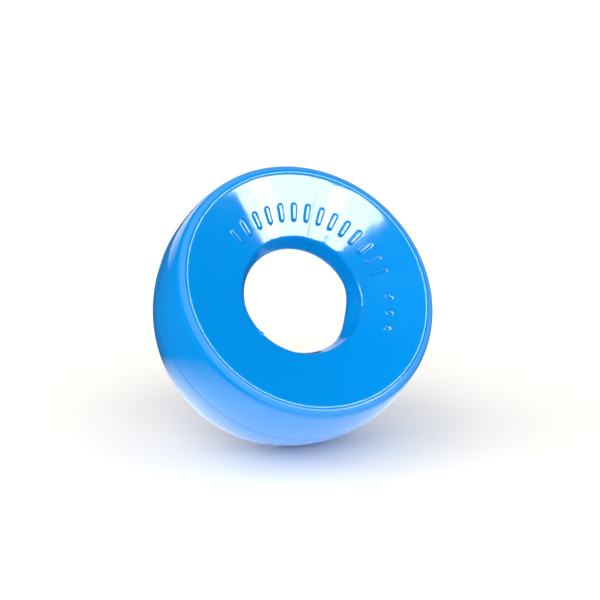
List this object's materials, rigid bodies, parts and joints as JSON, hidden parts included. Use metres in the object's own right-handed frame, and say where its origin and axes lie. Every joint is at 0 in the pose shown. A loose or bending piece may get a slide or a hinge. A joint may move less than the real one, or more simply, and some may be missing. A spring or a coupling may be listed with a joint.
{
  "type": "grip ring",
  "caption": "Glossy moulded elastomer ring with a ball-curved outer wall, a dished front face and a wide through hole that opens into a cone at the back.",
  "frame": {"origin": "middle of the bottom of the bounding box, on the ring's axis in the plane of its flat back land", "axes": "+Z along the ring's axis, out of the dished front face; the arc of ribs is centred 123 degrees round from +X, towards +Y"},
  "size_m": [0.064, 0.064, 0.0289],
  "materials": {
    "blue_elastomer": "glossy"
  },
  "bodies": {
    "root": {"moulded_ring": "blue_elastomer"}
  },
  "joints": []
}
